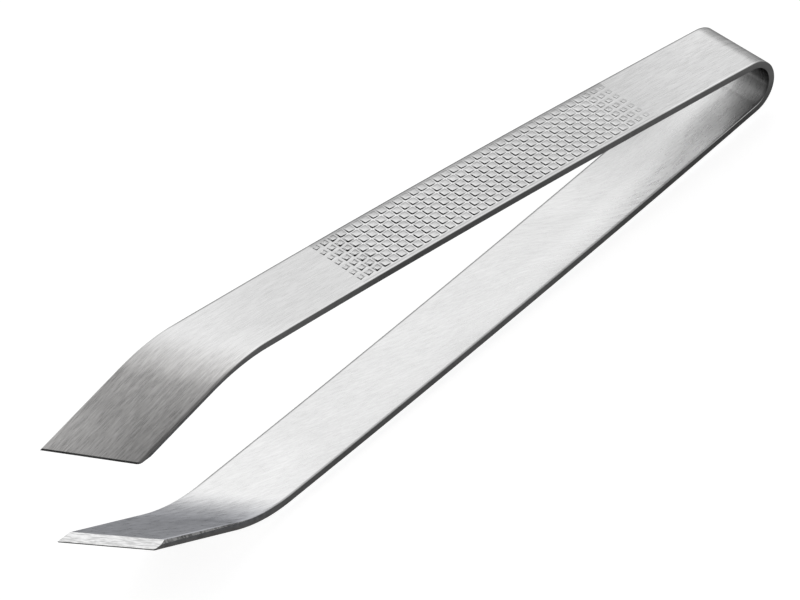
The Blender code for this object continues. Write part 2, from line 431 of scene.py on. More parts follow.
# %% [markdown]
# ## Materials: grain that follows the strip
# A belt sander drags thousands of fine scratches along the blank. A scratch is long and
# thin, so the noise that stands for it is stretched: its coordinates are the strip's own,
# multiplied by few waves per metre along it and very many across it. The group is built
# once, and each finish places it with its own numbers.

# %% The grain group
GRAIN_WAVES = (450.0, 4600.0)
CLOUD_WAVES = (90.0, 260.0)
LAYER_WAVES = 800.0
GRAIN_DETAIL = 2.0


def build_grain():
    """Scratches and clouds that run along the strip, or turned from it by an angle."""
    group, given, result = new_group('grain', ('Scratches', 'Clouds'), Turn=0.0,
                                     Along_per_m=GRAIN_WAVES[0], Across_per_m=GRAIN_WAVES[1])
    u, v, h = read_vector(group, 'strip')
    u = math_node(group, 'ABSOLUTE', u)
    cosine = math_node(group, 'COSINE', given['Turn'])
    sine = math_node(group, 'SINE', given['Turn'])
    length = plus(group, times(group, u, cosine), times(group, v, sine))
    breadth = minus(group, times(group, v, cosine), times(group, u, sine))
    layer = times(group, h, LAYER_WAVES)
    scratches = noise(group, times(group, length, given['Along per m']),
                      times(group, breadth, given['Across per m']), layer, GRAIN_DETAIL)
    clouds = noise(group, times(group, length, CLOUD_WAVES[0]),
                   times(group, breadth, CLOUD_WAVES[1]), layer, GRAIN_DETAIL)
    give(group, result, Scratches=scratches, Clouds=clouds)
    return group


grain = build_grain()

# %% [markdown]
# ## Materials: painted shade and highlights beside the edges
# The press shears the sheet, and the brush never reaches that cut, so it stays rough. Its
# darkness is painted shade, a dark colour where the cut would mirror the dark room, and it
# runs a little way onto the tumbled corners beside it. Four masks come from how far a
# point is from the strip's edges: the cut with its painted shade, two fine lines of
# painted light and shade just inside the near edge, on the outer and the inner face, and
# a painted highlight on the bare corner of the sheet beside the bow, and along the strip
# that is ground off the lower jaw, which ends at the facet.

# %% The edge shading group: painted shade and painted highlights
NEAR_SIDE_SHADE = (0.08 * MM, 0.0)
FAR_EDGE_SHADE = (0.46 * MM, 0.14 * MM)
FAR_EDGE_SHADE_SHARE = 0.7
FAR_CUT = (0.04 * MM, 0.0)
GLINT = (0.60 * MM, 0.28 * MM, 0.10 * MM)
INNER_EDGE_SHADING = (0.54 * MM, 0.30 * MM)
LINE_DEPTH = 0.11 * MM
LINE_SHARES = ((-24, 0.0), (-15, 1.0), (-7, 1.0), (-4, 0.0))
GROUND_EDGE_LINE = (0.80 * MM, 0.20 * MM)
GROUND_EDGE_LINE_SHARES = ((-135, 0.80), (-127, 0.55), (-121, 0.0))
GROUND_LENGTH = 22.0 * MM
GROUND_WIDTH = 0.36 * MM
FACET_END = TIP_LINE - HALF_WIDTH * tan(TIP_SKEW) - FACET_LENGTH


def build_sheared():
    """Masks for the painted shade on the sides and for the painted light and shade beside
    them.
    """
    group, _, result = new_group('edge_shading', ('Side', 'Glint', 'Lip', 'Line'))
    u, v, h = read_vector(group, 'strip')
    way_out = math_node(group, 'ABSOLUTE', u)
    from_near = plus(group, v, HALF_WIDTH)
    from_far = minus(group, HALF_WIDTH, v)
    from_inner = plus(group, h, HALF_THICKNESS)
    # Past the jaw's bend the painted shade along the far edge keeps to the cut itself
    far = ramp(group, from_far, *FAR_EDGE_SHADE, 0.0, FAR_EDGE_SHADE_SHARE)
    behind = ramp(group, way_out, BEND_LINE, BEND_LINE + BEND_ARC, 1.0, 0.0)
    far = times(group, far, greater(group, behind, ramp(group, from_far, *FAR_CUT)))
    # The cut sides get painted shade
    side = greater(group, ramp(group, from_near, *NEAR_SIDE_SHADE), far)
    # A painted highlight: a fine line just inside the near edge
    glint = times(group, ramp(group, from_near, GLINT[0], GLINT[1]),
                  ramp(group, from_near, GLINT[1], GLINT[2], 1.0, 0.0))
    # A painted highlight on the bare inner corner of the near edge, beside the bow
    line = times(group, ramp(group, from_near, LINE_DEPTH, LINE_DEPTH / 2),
                 ramp(group, from_inner, LINE_DEPTH, LINE_DEPTH / 2),
                 joined(group, u, LINE_SHARES))
    # The same painted highlight runs along the strip that is ground off the lower jaw
    ground = ramp(group, way_out, FACET_END - GROUND_LENGTH, FACET_END, 0.0, GROUND_WIDTH,
                  smooth=False)
    ground_edge_line = times(group, ramp(group, minus(group, from_near, ground), *GROUND_EDGE_LINE),
                 ramp(group, from_inner, EDGE_RADIUS, EDGE_RADIUS / 4),
                 joined(group, u, GROUND_EDGE_LINE_SHARES))
    give(group, result, Side=side, Glint=glint, Lip=ramp(group, from_near, *INNER_EDGE_SHADING),
         Line=greater(group, line, ground_edge_line))
    return group


edge_shading = build_sheared()

# %% [markdown]
# ## Materials: painted light and shade along the strip
# The arms are brushed bright. Over that, light and shade are painted into the colour. The
# crown of the bow is painted darker, more so towards the near edge. Its inside is painted
# as a dark hollow of shade, and past it the inner face has painted light along the near
# edge. The jaws are painted darker, and their outer faces are painted darkest along the
# near edge. The group gives this painted brightness at any point, as lines joined through
# a few shares. The places in them are millimetres along the strip, or for a jaw how far
# through its bend a point is.

# %% Shares of the painted light and shade
STREAK_WAVES = (90.0, 900.0)
STREAK_DETAIL = 3.0
CROWN_SHADE_FULL = 3.0 * MM
CROWN_BRIGHT = 7.5 * MM
CROWN_SHARE = 0.50
CROWN_WANDER = 1.6 * MM
OUTSIDE_SHARES = ((7.5, 1.19), (28.8, 1.03), (94, 1.0), (102, 0.97), (112, 0.99), (120, 1.06))
CROWN_TILTS = ((3, 22.0), (6, 12.0), (20, 0.0))
INSIDE_SHARES = ((1, 1.20), (2, 1.02), (3, 1.34), (4, 1.56), (5.5, 1.34), (7, 1.40), (9, 1.16),
                 (12, 1.12), (16, 1.04), (20, 0.96), (28, 0.92), (36, 0.98), (60, 0.97),
                 (75, 1.0), (105, 1.0), (112, 1.06), (122, 1.08))
INSIDE_NEAR = -6.0 * MM
INSIDE_NEAR_SHARES = ((2, 0.90), (3, 1.04), (4.5, 0.95), (7.5, 0.72), (10, 0.74), (13, 0.97),
                      (16, 1.22), (20, 1.66), (28, 1.78), (36, 1.54), (50, 1.24),
                      (75, 1.02))
INSIDE_FAR = 5.0 * MM
INSIDE_FAR_SHARES = ((12, 0.85), (20, 0.77), (24, 0.80), (28, 0.88), (36, 0.93), (40, 1.0))
HOLLOW_SHARES = ((-3, 0.15), (0.5, 0.27), (1.5, 0.33), (4, 0.47), (5.8, 0.56), (8.5, 0.79),
                 (10.5, 1.0))
HOLLOW_SKEW = 1.2
HOLLOW_SHIFT = 3.6 * MM
HOLLOW_WANDER = 4.0 * MM
JAW_INSIDE_SHARES = ((0.1, 1.0), (0.31, 0.92), (0.45, 0.84), (0.60, 0.75), (0.76, 0.71),
                     (0.93, 0.69), (1.1, 0.65), (1.3, 0.59), (2.0, 0.60))
JAW_NEAR = (-2.0 * MM, -5.0 * MM)
JAW_NEAR_SHARES = ((0.2, 1.0), (0.5, 1.18), (1.1, 1.22), (1.3, 1.0))
JAW_OUTSIDE_SHARES = ((0.0, 1.0), (0.1, 0.93), (0.3, 0.88), (0.5, 0.90), (0.8, 0.92),
                      (1.0, 0.86), (1.5, 0.70))
JAW_OUTSIDE_TILTS = ((0.1, 0.0), (0.5, -20.0), (0.9, -16.0), (1.3, 8.0), (1.5, 14.0),
                     (2.0, 40.0))
JAW_EDGE = (0.20 * MM, 0.66 * MM)
JAW_EDGE_FROM = (0.3, 1.0)
JAW_EDGE_SHARE = 0.44


# %% The painted shading group
def build_finish():
    """The painted light and shade of the faces, and masks for the outer face and for the jaw.
    """
    group, _, result = new_group('painted_shading', ('Brightness', 'Outside', 'Jaw'))
    u, v, h = read_vector(group, 'strip')
    u = math_node(group, 'ABSOLUTE', u)
    outside = ramp(group, h, -HALF_THICKNESS / 2, HALF_THICKNESS / 2)
    # The brush left streaks, so the edges of the painted shade wander from streak to streak
    streaks = noise(group, times(group, u, STREAK_WAVES[0]), times(group, v, STREAK_WAVES[1]),
                    times(group, h, LAYER_WAVES), STREAK_DETAIL)
    wander = minus(group, streaks, 0.5)
    # Outside the bow: painted shade on the crown, then a shank painted a little brighter than
    # the grip
    crown = ramp(group, plus(group, u, times(group, wander, CROWN_WANDER)), CROWN_SHADE_FULL,
                 CROWN_BRIGHT, CROWN_SHARE, joined(group, u, OUTSIDE_SHARES))
    crown = times(group, crown,
                  plus(group, times(group, v, joined(group, u, CROWN_TILTS)), 1.0))
    # Inside the arm, painted light and shade: one line of shares along its middle, and one
    # towards each edge
    throat = joined(group, u, INSIDE_SHARES)
    for place, shares in ((INSIDE_NEAR, INSIDE_NEAR_SHARES), (INSIDE_FAR, INSIDE_FAR_SHARES)):
        throat = times(group, throat, ramp(group, v, 0.0, place, 1.0,
                                           joined(group, u, shares), smooth=False))
    # Inside the bow: painted shade, a dark hollow that reaches furthest at the near edge
    skewed = plus(group, u, times(group, v, HOLLOW_SKEW), HOLLOW_SHIFT,
                  times(group, wander, HOLLOW_WANDER))
    hollow = times(group, throat, joined(group, skewed, HOLLOW_SHARES))
    arm = blend(group, outside, hollow, crown)
    # The jaw: how far through its skewed bend a point is, as a share of the bend
    ahead = times(group, minus(group, u, BEND_LINE), cos(BEND_SKEW) / BEND_ARC)
    through = minus(group, ahead, times(group, v, sin(BEND_SKEW) / BEND_ARC))
    # Painted light and shade on the jaw: inside lighter by the near edge and darker through
    # the bend, outside darker towards the tip and darkest by the near edge
    near = ramp(group, v, *JAW_NEAR, 1.0, joined(group, through, JAW_NEAR_SHARES, 1.0))
    inside = times(group, joined(group, through, JAW_INSIDE_SHARES, 1.0), near)
    tilt = plus(group, times(group, v, joined(group, through, JAW_OUTSIDE_TILTS, 1.0)), 1.0)
    edge = ramp(group, plus(group, v, HALF_WIDTH), *JAW_EDGE,
                ramp(group, through, *JAW_EDGE_FROM, 1.0, JAW_EDGE_SHARE), 1.0)
    jaw_outside_shade = times(group, joined(group, through, JAW_OUTSIDE_SHARES, 1.0), edge, tilt)
    bent = blend(group, outside, inside, jaw_outside_shade)
    give(group, result, Brightness=times(group, arm, bent), Outside=outside,
         Jaw=ramp(group, through, 0.0, 1.0))
    return group


painted_shading = build_finish()

# %% [markdown]
# ## Materials: painted shade and highlights on the embossed field
# A pillow's two walls that face the tip and the near edge are painted dark as shade. The
# two behind them show as a thin outline of painted shade, and the corners between get
# painted highlights as bright specks: at every pillow on one side, and on the other side
# along the far row and towards the tip. The group reads the slope attribute for that. It
# also paints the grooves, which are the flat sheet itself, brighter, paints the margin
# along the far edge darker, and draws a faint darker line along the near one.

# %% Numbers of the embossed field
FIELD_FADE = 0.5 * MM
FIELD_EDGE = (6.55 * MM, 6.6 * MM)
WALL_STARTS = ((88, 0.23), (92, 0.14))
WALL_ENDS = ((88, 0.42), (92, 0.30))
DARK_WALL_SHARES = ((33, 0.50), (42, 0.22), (56, 0.03), (92, 0.03), (95, 0.10))
BACK_WALL_SHARES = ((36, 0.12), (48, 0.26), (60, 0.34), (86, 0.36), (93, 0.30))
NEAR_WALL_WEIGHT = 0.78
DIAGONAL = 0.7
CORNER_GLINT_RANGE = (0.37, 0.47)
CORNER_GLINT_SHARE = 1.5
OTHER_GLINT_STARTS = ((91, 0.35), (95, 0.26))
OTHER_GLINT_REACH = 0.07
TIP_GLINTS = ((86, 0.0), (90, 1.0))
FAR_GLINTS = ((3.4, 0.0), (4.2, 1.0))
TOP_TILT = 0.12
TOP_SPREAD = 0.08
GROOVE_SHARES = ((34, 1.0), (36, 1.22), (89, 1.22), (91, 1.0))
GROOVE_DEPTH = 0.03 * MM
GROOVE_EDGE = (5.9 * MM, 6.2 * MM)
FAR_MARGIN = ((4.6, 1.0), (5.2, 0.93), (6.0, 0.90), (6.5, 0.68))
NEAR_LINE = ((-6.65, 1.0), (-6.5, 0.80), (-6.4, 0.80), (-6.25, 1.0))


# %% The embossed group
def build_embossed():
    """The painted light and shade of the embossed field, from the way that its walls face."""
    group, _, result = new_group('embossed', ('Brightness',))
    slope = read_vector(group, 'slope')
    u, v, h = read_vector(group, 'strip')
    u = math_node(group, 'ABSOLUTE', u)
    across = math_node(group, 'ABSOLUTE', v)
    field = times(group, ramp(group, u, PATTERN_START, PATTERN_START + FIELD_FADE),
                  ramp(group, u, PATTERN_END - FIELD_FADE, PATTERN_END, 1.0, 0.0),
                  ramp(group, h, -HALF_THICKNESS / 2, HALF_THICKNESS / 2))
    inside = times(group, ramp(group, across, *FIELD_EDGE, 1.0, 0.0), field)
    to_tip = times(group, slope[0], inside)
    to_near = times(group, slope[1], -1.0, inside)
    # The two walls that face the tip and the near side get painted shade
    start = joined(group, u, WALL_STARTS)
    end = joined(group, u, WALL_ENDS)
    walls = ramp(group, plus(group, to_tip, times(group, to_near, NEAR_WALL_WEIGHT)),
                 start, end, 1.0, joined(group, u, DARK_WALL_SHARES))
    # The other two get a thin line of painted shade, and the corners between painted
    # highlights
    back = times(group, plus(group, to_tip, to_near), -DIAGONAL)
    walls = times(group, walls, ramp(group, back, start, end, 1.0,
                                     joined(group, u, BACK_WALL_SHARES)))
    corner = times(group, minus(group, to_near, to_tip), DIAGONAL)
    walls = blend(group, ramp(group, corner, *CORNER_GLINT_RANGE), walls, CORNER_GLINT_SHARE)
    start = joined(group, u, OTHER_GLINT_STARTS)
    other = ramp(group, times(group, corner, -1.0), start,
                 plus(group, start, OTHER_GLINT_REACH))
    other = times(group, other, greater(group, joined(group, u, TIP_GLINTS),
                                        joined(group, v, FAR_GLINTS)))
    walls = blend(group, other, walls, CORNER_GLINT_SHARE)
    # Painted reflection: a pillow's top is painted lighter where it leans nearer, as if it
    # mirrored more of the screen
    top = ramp(group, to_near, -TOP_TILT, TOP_TILT, 1 - TOP_SPREAD, 1 + TOP_SPREAD,
               smooth=False)
    top = blend(group, inside, 1.0, top)
    # Painted light: the grooves between the pillows, the flat sheet itself, are painted
    # brighter
    groove = ramp(group, h, HALF_THICKNESS, HALF_THICKNESS + GROOVE_DEPTH,
                  joined(group, u, GROOVE_SHARES), 1.0)
    rows = ramp(group, across, *GROOVE_EDGE, 1.0, 0.0)
    groove = blend(group, times(group, field, rows), 1.0, groove)
    # The far margin is darker, and a faint darker line runs along the near edge
    margins = times(group, joined(group, v, FAR_MARGIN), joined(group, v, NEAR_LINE))
    margins = blend(group, field, 1.0, margins)
    give(group, result, Brightness=times(group, walls, top, groove, margins))
    return group


embossed = build_embossed()

# %% [markdown]
# ## Materials: brushed steel
# Steel is all metal: its colour is the tint of its reflection. The scratches change the
# tint and the roughness a little and tilt the surface through a Bump node, and broad soft
# clouds make sure that no stretch of it looks like the next. Inside the arms the sander
# was held at a slant, so the scratches there are shorter and turned. The grip and the
# jaws get materials of their own, but all three are made by one function from the same
# groups, so that no step shows where two pieces of the strip meet.

# %% Numbers of the steel
STEEL_TINT = 0.62
SCRATCH_SPREAD = 0.28
JAW_SCRATCH_SPREAD = 0.52
CLOUD_SHARE = 0.25
# The sides' dark tint is painted shade, and the shares after it paint reflections of darker
# and lighter parts of the room along the strip
SIDE_TINT = 0.10
SIDE_SHARES = ((-140, 1.0), (-118, 0.92), (-104, 0.80), (-90, 0.90), (-60, 0.95), (-45, 0.80),
               (-30, 0.67), (-10, 0.62), (-4, 0.75), (0, 1.05), (40, 1.0), (60, 0.78),
               (90, 0.70), (100, 0.98), (118, 1.15), (130, 1.35))
# Painted highlights and shade in the fine lines just inside the near edge, and on the bare
# corner
SHANK_GLINT_SHARE = 1.28
GLINT_SHARE = 1.08
INNER_EDGE_SHADING_SHARES = ((120, 0.55), (125, 1.0), (130, 1.35))
LINE_TINT = 0.8
EDGE_TINT = 0.35
JAW_OUTSIDE_COLOUR = (1.0, 0.985, 0.975)
JAW_INSIDE_COLOUR = (0.97, 0.985, 1.04)
ROUGHNESS = 0.30
ROUGHNESS_SPREAD = 0.06
SIDE_ROUGHNESS = 0.5
SCRATCH_DEPTH = 0.02 * MM
BUMP = 0.12
JAW_BUMP = 0.04
INSIDE_WAVES = (600.0, 3000.0)
INSIDE_TURN = radians(21.0)
TURN_START = 25.0 * MM
TURN_END = 60.0 * MM


# %% Material helpers
def new_material(name, metallic=1.0):
    """A material, its node tree and the inputs of its Principled shader."""
    material = bpy.data.materials.new(name)
    material.use_nodes = True
    inputs = material.node_tree.nodes['Principled BSDF'].inputs
    inputs['Metallic'].default_value = metallic
    print("material", name)
    return material, material.node_tree, inputs


def place_group(tree, group, **values):
    """Puts a group into a material, with this material's own numbers."""
    node = tree.nodes.new('ShaderNodeGroup')
    node.node_tree = group
    for label, value in values.items():
        feed(tree, node.inputs[label.replace('_', ' ')], value)
    return node.outputs


def tinted(tree, value, tint):
    """A colour from one number, leaning towards a tint of numbers or sockets."""
    colour = tree.nodes.new('ShaderNodeCombineColor')
    for socket, share in zip(colour.inputs, tint):
        feed(tree, socket, times(tree, value, share))
    return colour.outputs[0]


def add_relief(tree, shader, height, strength):
    """Tilts the surface by the scratches, without moving it."""
    relief = tree.nodes.new('ShaderNodeBump')
    relief.inputs['Strength'].default_value = strength
    relief.inputs['Distance'].default_value = SCRATCH_DEPTH
    tree.links.new(height, relief.inputs['Height'])
    tree.links.new(relief.outputs['Normal'], shader['Normal'])


# %% Brushed steel
def make_steel(name, bump, pillows=False):
    """The brushed steel of one sub-part; all of them match where they meet."""
    material, tree, shader = new_material(name)
    shader['Specular Tint'].default_value = (EDGE_TINT, EDGE_TINT, EDGE_TINT, 1.0)
    place = place_group(tree, painted_shading)
    edge = place_group(tree, edge_shading)
    way = read_vector(tree, 'strip')[0]
    u = math_node(tree, 'ABSOLUTE', way)
    outer = place_group(tree, grain)
    inner = place_group(tree, grain, Along_per_m=INSIDE_WAVES[0], Across_per_m=INSIDE_WAVES[1],
                        Turn=ramp(tree, u, TURN_START, TURN_END, 0.0, INSIDE_TURN))
    scratches = blend(tree, place['Outside'], inner['Scratches'], outer['Scratches'])
    clouds = blend(tree, place['Outside'], inner['Clouds'], outer['Clouds'])
    texture = plus(tree, minus(tree, scratches, 0.5),
                   times(tree, minus(tree, clouds, 0.5), CLOUD_SHARE))
    spread = blend(tree, place['Jaw'], SCRATCH_SPREAD, JAW_SCRATCH_SPREAD)
    texture = plus(tree, times(tree, texture, spread), 1.0)
    # The faces, with painted light and shade, and the fine painted lines beside their edges
    glint = ramp(tree, u, TURN_START, GRIP_SEAM, SHANK_GLINT_SHARE, GLINT_SHARE)
    inner_edge_shading = blend(tree, place['Outside'], joined(tree, u, INNER_EDGE_SHADING_SHARES), 1.0)
    tone = times(tree, texture, STEEL_TINT, place['Brightness'],
                 blend(tree, edge['Glint'], 1.0, glint), blend(tree, edge['Lip'], 1.0, inner_edge_shading))
    if pillows:
        tone = times(tree, tone, place_group(tree, embossed)['Brightness'])
    # The sides: painted shade, with painted reflections of darker and lighter parts of the
    # room along the strip
    side = times(tree, texture, SIDE_TINT, joined(tree, way, SIDE_SHARES))
    tone = blend(tree, edge['Side'], tone, side)
    tone = blend(tree, edge['Line'], tone, LINE_TINT)
    hue = [blend(tree, place['Jaw'], 1.0, blend(tree, place['Outside'], inside, outside))
           for outside, inside in zip(JAW_OUTSIDE_COLOUR, JAW_INSIDE_COLOUR)]
    tree.links.new(tinted(tree, tone, hue), shader['Base Color'])
    rough = blend(tree, scratches, ROUGHNESS - ROUGHNESS_SPREAD, ROUGHNESS + ROUGHNESS_SPREAD)
    tree.links.new(blend(tree, edge['Side'], rough, SIDE_ROUGHNESS), shader['Roughness'])
    add_relief(tree, shader, scratches, bump)
    return material


strip_steel = make_steel('strip_steel', BUMP)
grip_steel = make_steel('grip_steel', BUMP, pillows=True)
jaw_steel = make_steel('jaw_steel', JAW_BUMP)

# %% [markdown]
# ## Materials: the ground and the cut ends
# The facet inside each tip is left as the wheel made it, with coarse lines parallel to the
# edge. The strip ground off the near edge of the jaw is darker and speckled. The thin end
# itself is cut, and painted near black as shade, darker than bare steel. All three are the
# same grain group, turned until its lines run along the tip.

# %% Facet, ground and cut steel
END_TURN = pi / 2 - TIP_SKEW
WHEEL = {'lines_from': (0.2, 0.8), 'roughness': 0.4, 'bump': 0.3}
FACET = {'waves': (600.0, 3600.0), 'tints': (0.54, 0.82), **WHEEL}
GROUND = {'waves': (1500.0, 2000.0), 'tints': (0.20, 0.52), **WHEEL}
# The cut end is painted near black: painted shade, darker than bare steel
CUT = {'waves': (350.0, 3500.0), 'tints': (0.025, 0.075)}


def make_end(name, waves, tints, lines_from=(0.0, 1.0), roughness=SIDE_ROUGHNESS, bump=0.0):
    """Steel with lines parallel to the tip, or speckled if its two waves are alike."""
    material, tree, shader = new_material(name)
    lines = place_group(tree, grain, Along_per_m=waves[0], Across_per_m=waves[1],
                        Turn=END_TURN)['Scratches']
    tone = ramp(tree, lines, *lines_from, *tints)
    tree.links.new(tinted(tree, tone, (1.0, 1.0, 1.0)), shader['Base Color'])
    shader['Roughness'].default_value = roughness
    if bump:
        add_relief(tree, shader, lines, bump)
    return material


facet_steel = make_end('facet_steel', **FACET)
ground_steel = make_end('ground_steel', **GROUND)
shaded_cut_steel = make_end('shaded_cut_steel', **CUT)

# %% [markdown]
# ## The bow
# The bow is the spring. It is bent round a former about 8 mm thick, and it gives the
# tweezers their whole opening. The bar is sliced every degree or so, which makes the arc
# smooth even in its own reflection.

# %% The bow
BOW_STEP = 0.1 * MM
HINGE_REACH = 1.0 * MM
bow_end = BOW_SEAM - HINGE_REACH

bm = flat_bar(-bow_end, bow_end)
slice_evenly(bm, -BOW_ARC, BOW_ARC, BOW_STEP)
slice_across(bm, -BOW_ARC)
slice_across(bm, BOW_ARC)
bow = finish_piece('bow_spring', bm, 0, [strip_steel])
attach(bow, "bow")
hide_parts("bow")

# %% [markdown]
# ## The shanks
# Between the bow and the grip the arms are plain brushed steel. When the tweezers close,
# the metal flexes beside the bow. This piece is sliced finely there and is bare everywhere
# else.

# %% The shanks
FLEX_REACH = 6.0 * MM
HINGE_STEP = 0.25 * MM
ARM_STEP = 1.0 * MM
shank_end = GRIP_SEAM - FLEX_REACH


def make_shank(side, half):
    """The plain length of an arm behind its grip."""
    bm = flat_bar(bow_end, shank_end)
    slice_evenly(bm, bow_end, BOW_SEAM + HINGE_REACH, HINGE_STEP)
    slice_evenly(bm, BOW_SEAM + HINGE_REACH, shank_end, ARM_STEP)
    piece = finish_piece(side + '_shank_strip', bm, half, [strip_steel])
    bend(bow_end, 0, 0, half)
    bend(BOW_SEAM + HINGE_REACH, 0, 0, half)
    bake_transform(piece)
    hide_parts(side + "_shank")


for side, half in ARMS:
    make_shank(side, half)

# %% [markdown]
# ## The pillows of the grip
# A knurled die presses rows of small pillows out of the sheet. They are rounded squares
# with soft shoulders. Three columns at each end shrink and fade out, and the two outer
# rows are a little lower. The bar is cut into square cells first. Each cell gets a
# border, its four corners are pulled in by smooth_vert to round it, and three insets
# raise the wall, the shoulder and the crown. That is about forty faces a pillow, and
# smooth shading does the rest.

# %% Pillow sizes
PATTERN_SHIFT = 0.2 * MM
PILLOW_HEIGHT = 0.147 * MM
GROOVE_HALF_SHARE = 0.07
RING_WIDTH_SHARES = (0.04, 0.06, 0.20)
RING_HEIGHT_SHARES = (0.68, 0.22, 0.10)
CELL_CUTS = 2
CORNER_PULL = 0.45
END_COLUMN_SIZE_SHARES = (0.72, 0.63, 0.52)
END_COLUMN_HEIGHT_SHARES = (0.80, 0.60, 0.40)
FAR_ROW_HEIGHT_SHARE = 0.85
NEAR_ROW_HEIGHT_SHARE = 0.90


def pillow_shares(column, row):
    """Size and height of one pillow, as shares of a full one."""
    from_end = min(column, PILLOW_COLUMNS - 1 - column)
    step = len(END_COLUMN_SIZE_SHARES) - 1 - from_end
    size = END_COLUMN_SIZE_SHARES[step] if step >= 0 else 1.0
    height = END_COLUMN_HEIGHT_SHARES[step] if step >= 0 else 1.0
    if row == 0:
        height *= NEAR_ROW_HEIGHT_SHARE
    if row == PILLOW_ROWS - 1:
        height *= FAR_ROW_HEIGHT_SHARE
    return size, height


print(PILLOW_ROWS * PILLOW_COLUMNS, "pillows a grip, the last one at shares",
      pillow_shares(PILLOW_COLUMNS - 1, PILLOW_ROWS - 1))

# %% Cut the cells
FACING_OUT = 0.99


def outer_faces(bm):
    """The faces that still lie flat on the outside of the bar."""
    return [f for f in bm.faces if f.normal.z > FACING_OUT and
            f.calc_center_median().z > HALF_THICKNESS - CUT_TOLERANCE]


def cut_rows(bm):
    """Splits the outer face alone along the edges of the rows of pillows."""
    for row in range(PILLOW_ROWS + 1):
        faces = [f for f in outer_faces(bm)
                 if PATTERN_START < f.calc_center_median().x < PATTERN_END]
        edges = {e for f in faces for e in f.edges}
        verts = {v for f in faces for v in f.verts}
        place = PATTERN_SHIFT + (row - PILLOW_ROWS / 2) * PILLOW_PITCH
        bmesh.ops.bisect_plane(bm, geom=list(verts) + list(edges) + faces,
                               dist=CUT_TOLERANCE, plane_co=(0, place, 0), plane_no=(0, 1, 0))


def find_cells(bm):
    """The square cells by their size and height shares, as lists of faces."""
    cells = {}
    for face in outer_faces(bm):
        centre = face.calc_center_median()
        column = int((centre.x - PATTERN_START) // PILLOW_PITCH)
        row = int((centre.y - PATTERN_SHIFT + PILLOW_ROWS / 2 * PILLOW_PITCH) // PILLOW_PITCH)
        if 0 <= column < PILLOW_COLUMNS and 0 <= row < PILLOW_ROWS:
            cells.setdefault(pillow_shares(column, row), []).append(face)
    return cells


# %% Raise the pillows
def raise_pillows(bm, cells, size, height):
    """Turns cells of one kind into pillows."""
    border = PILLOW_PITCH * ((1 - size) / 2 + GROOVE_HALF_SHARE * size)
    bmesh.ops.inset_individual(bm, faces=cells, thickness=border, depth=0,
                               use_even_offset=True)
    bmesh.ops.subdivide_edges(bm, edges=[e for f in cells for e in f.edges],
                              cuts=CELL_CUTS)
    corners = [v for f in cells for v in f.verts if len(v.link_edges) == 3]
    bmesh.ops.smooth_vert(bm, verts=corners, factor=CORNER_PULL, use_axis_x=True,
                          use_axis_y=True, use_axis_z=False)
    for width, rise in zip(RING_WIDTH_SHARES, RING_HEIGHT_SHARES):
        bmesh.ops.inset_individual(bm, faces=cells, thickness=PILLOW_PITCH * size * width,
                                   depth=PILLOW_HEIGHT * height * rise,
                                   use_even_offset=True)


def make_grip(side, half):
    """The embossed length of an arm, sliced finely at its rear end, where it flexes."""
    bm = flat_bar(shank_end, NECK_SEAM)
    slice_evenly(bm, shank_end, PATTERN_START, HINGE_STEP * 2)
    for column in range(PILLOW_COLUMNS + 1):
        slice_across(bm, PATTERN_START + column * PILLOW_PITCH)
    cut_rows(bm)
    for (size, height), cells in find_cells(bm).items():
        raise_pillows(bm, cells, size, height)
    piece = finish_piece(side + '_grip_strip', bm, half, [grip_steel])
    bend(GRIP_SEAM - FLEX_REACH, 0, 0, half)
    bend(GRIP_SEAM + FLEX_REACH, 0, 0, half)
    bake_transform(piece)
    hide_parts(side + "_grip")


for side, half in ARMS:
    make_grip(side, half)

# %% [markdown]
# ## The necks
# Past the grip the arm is plain brushed sheet again up to the jaw. It is only sliced
# finely enough to follow the arm's long arc.

# %% The necks
def make_neck(side, half):
    """The plain length of an arm between its grip and its jaw."""
    bm = flat_bar(NECK_SEAM, JAW_SEAM)
    slice_evenly(bm, NECK_SEAM, JAW_SEAM, ARM_STEP)
    piece = finish_piece(side + '_neck_strip', bm, half, [strip_steel])
    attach(piece, side + "_arm")
    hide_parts(side + "_neck")


for side, half in ARMS:
    make_neck(side, half)

# %% [markdown]
# ## The jaws
# The jaw is rolled inwards across a line that runs askew, and its end is cut off on the
# same slant, so that the two tips meet along a wide, thin edge that can grip a fine bone.
# Inside, a grinding wheel has taken the sheet down to 0.2 mm at the tip. It has also run
# along the near inner edge, deep on the lower jaw and hardly at all on the upper one.
# The near corner of each tip is rounded and its outer edge broken, again not alike on
# the two, since this is done by hand. Each of these is one or a few slanting cuts with
# bisect_plane, closed with holes_fill, while the strip is still flat.

# %% Jaw sizes
BEND_STEPS = 36
WASTE_LENGTH = 2.0 * MM
GROUND_DEPTHS = {'upper': 0.03 * MM, 'lower': 0.50 * MM}
TIP_BREAKS = {'upper': 0.17 * MM, 'lower': 0.04 * MM}
TIP_BREAK_SLOPE = radians(30.0)
TIP_CORNERS = {'upper': 1.2 * MM, 'lower': 0.7 * MM}
TIP_CORNER_CUTS = 4
FACET_MATERIAL = 1
CUT_MATERIAL = 2
GROUND_MATERIAL = 3


# %% Grind or cut
def cut_off(bm, place, normal, material):
    """Grinds away everything on the normal's side of a plane and closes the cut."""
    bmesh.ops.bisect_plane(bm, geom=everything(bm), dist=CUT_TOLERANCE, plane_co=place,
                           plane_no=normal, clear_outer=True)
    closed = bmesh.ops.holes_fill(bm, edges=bm.edges[:], sides=0)
    for face in closed['faces']:
        face.material_index = material


